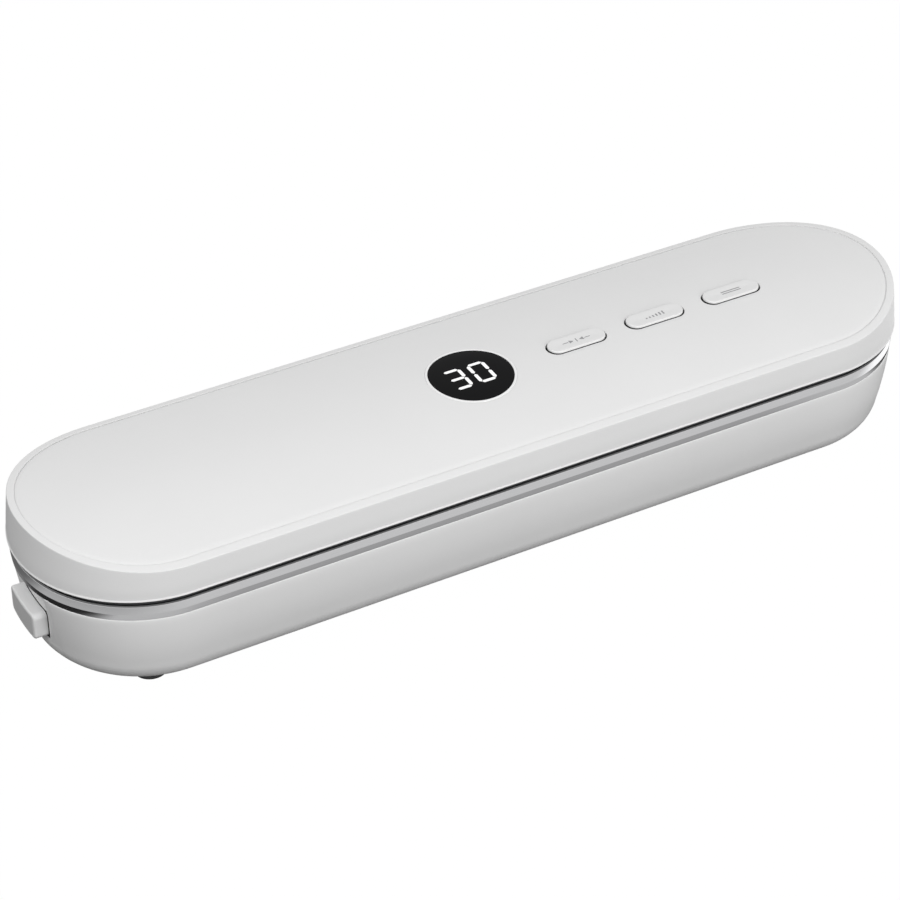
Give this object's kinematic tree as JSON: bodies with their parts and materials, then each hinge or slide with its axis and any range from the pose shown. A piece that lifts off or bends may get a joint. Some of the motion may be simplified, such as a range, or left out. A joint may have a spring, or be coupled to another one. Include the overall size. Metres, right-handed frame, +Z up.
{
  "type": "vacuum sealer",
  "caption": "Countertop vacuum bag sealer: a long body with rounded ends, a hinged arched lid with a round display and push buttons, a bright trim band and a side release latch.",
  "frame": {"origin": "centre of the bounding box's bottom, on the surface that the feet stand on", "axes": "+X along the sealer to the right, +Y to the back where the lid is hinged, +Z up"},
  "size_m": [0.38, 0.098, 0.0662],
  "materials": {
    "shell_white": "satin white moulded plastic",
    "panel_white": "fine satin white",
    "button_white": "satin white",
    "trim_chrome": "polished plating",
    "display_black": "glossy dark window",
    "ring_white": "glossy white",
    "deck_grey": "fine texture, dark grey",
    "gasket_foam": "closed-cell foam",
    "strip_rubber": "silicone rubber",
    "heater_carrier": "heat-proof moulding",
    "heating_ribbon": "rolled resistance ribbon",
    "tape_brown": "coated glass cloth",
    "foot_rubber": "matte",
    "hardware_steel": "zinc plated",
    "inner_black": "black moulding",
    "inner_white": "natural moulding",
    "motor_steel": "drawn can",
    "hose_silicone": "silicone",
    "board_green": "solder mask",
    "contact_brass": "plated contact"
  },
  "bodies": {
    "base": {"base_shell": "shell_white", "trim_band": "trim_chrome", "base_deck": "deck_grey", "lower_gasket": "gasket_foam", "heater_bar": "heater_carrier", "heating_strip": "heating_ribbon", "heat_tape": "tape_brown", "hinge_pin_left": "hardware_steel", "hinge_pin_right": "hardware_steel", "latch_bezel": "shell_white", "latch_spring": "hardware_steel", "pump_head": "inner_white", "pump_motor": "motor_steel", "pump_bracket": "inner_black", "vacuum_hose": "hose_silicone", "suction_port": "inner_white", "vent_valve": "inner_black", "power_board": "board_green", "power_transformer": "motor_steel", "filter_capacitors": "inner_black", "heater_relay": "inner_black", "power_inlet": "inner_black", "inlet_pins": "contact_brass", "lid_sensor": "inner_black", "foot_front_left": "foot_rubber", "foot_front_right": "foot_rubber", "foot_rear_left": "foot_rubber", "foot_rear_right": "foot_rubber", "base_screws": "hardware_steel"},
    "lid": {"lid_shell": "shell_white", "top_panel": "panel_white", "display_ring": "ring_white", "display_lens": "display_black", "control_board": "board_green", "display_module": "inner_black", "tact_switches": "inner_black", "lid_liner": "deck_grey", "upper_gasket": "gasket_foam", "pressure_strip": "strip_rubber", "latch_hook_left": "inner_white", "latch_hook_right": "inner_white", "lid_magnet": "hardware_steel", "liner_screws": "hardware_steel"},
    "vacuum_seal_press": {"vacuum_seal_button": "button_white"},
    "pulse_press": {"pulse_button": "button_white"},
    "seal_press": {"seal_button": "button_white"},
    "latch": {"latch_button": "button_white", "release_bar": "inner_white"}
  },
  "joints": [
    {"name": "lid_hinge", "type": "hinge", "parent": "base", "child": "lid", "pos_m": [0, 0.0468, 0.0461], "axis": [-1, 0, 0], "range_deg": [0, 75]},
    {"name": "vacuum_seal_push", "type": "slide", "parent": "lid", "child": "vacuum_seal_press", "axis": [0, 0, -1], "range_m": [0, 0.0008], "stiffness_N_per_m": 300, "springref_m": -0.0006},
    {"name": "pulse_push", "type": "slide", "parent": "lid", "child": "pulse_press", "axis": [0, 0, -1], "range_m": [0, 0.0008], "stiffness_N_per_m": 300, "springref_m": -0.0006},
    {"name": "seal_push", "type": "slide", "parent": "lid", "child": "seal_press", "axis": [0, 0, -1], "range_m": [0, 0.0008], "stiffness_N_per_m": 300, "springref_m": -0.0006},
    {"name": "latch_push", "type": "slide", "parent": "base", "child": "latch", "axis": [1, 0, 0], "range_m": [0, 0.003], "stiffness_N_per_m": 300, "springref_m": -0.003, "deforming": ["latch_spring"]}
  ]
}
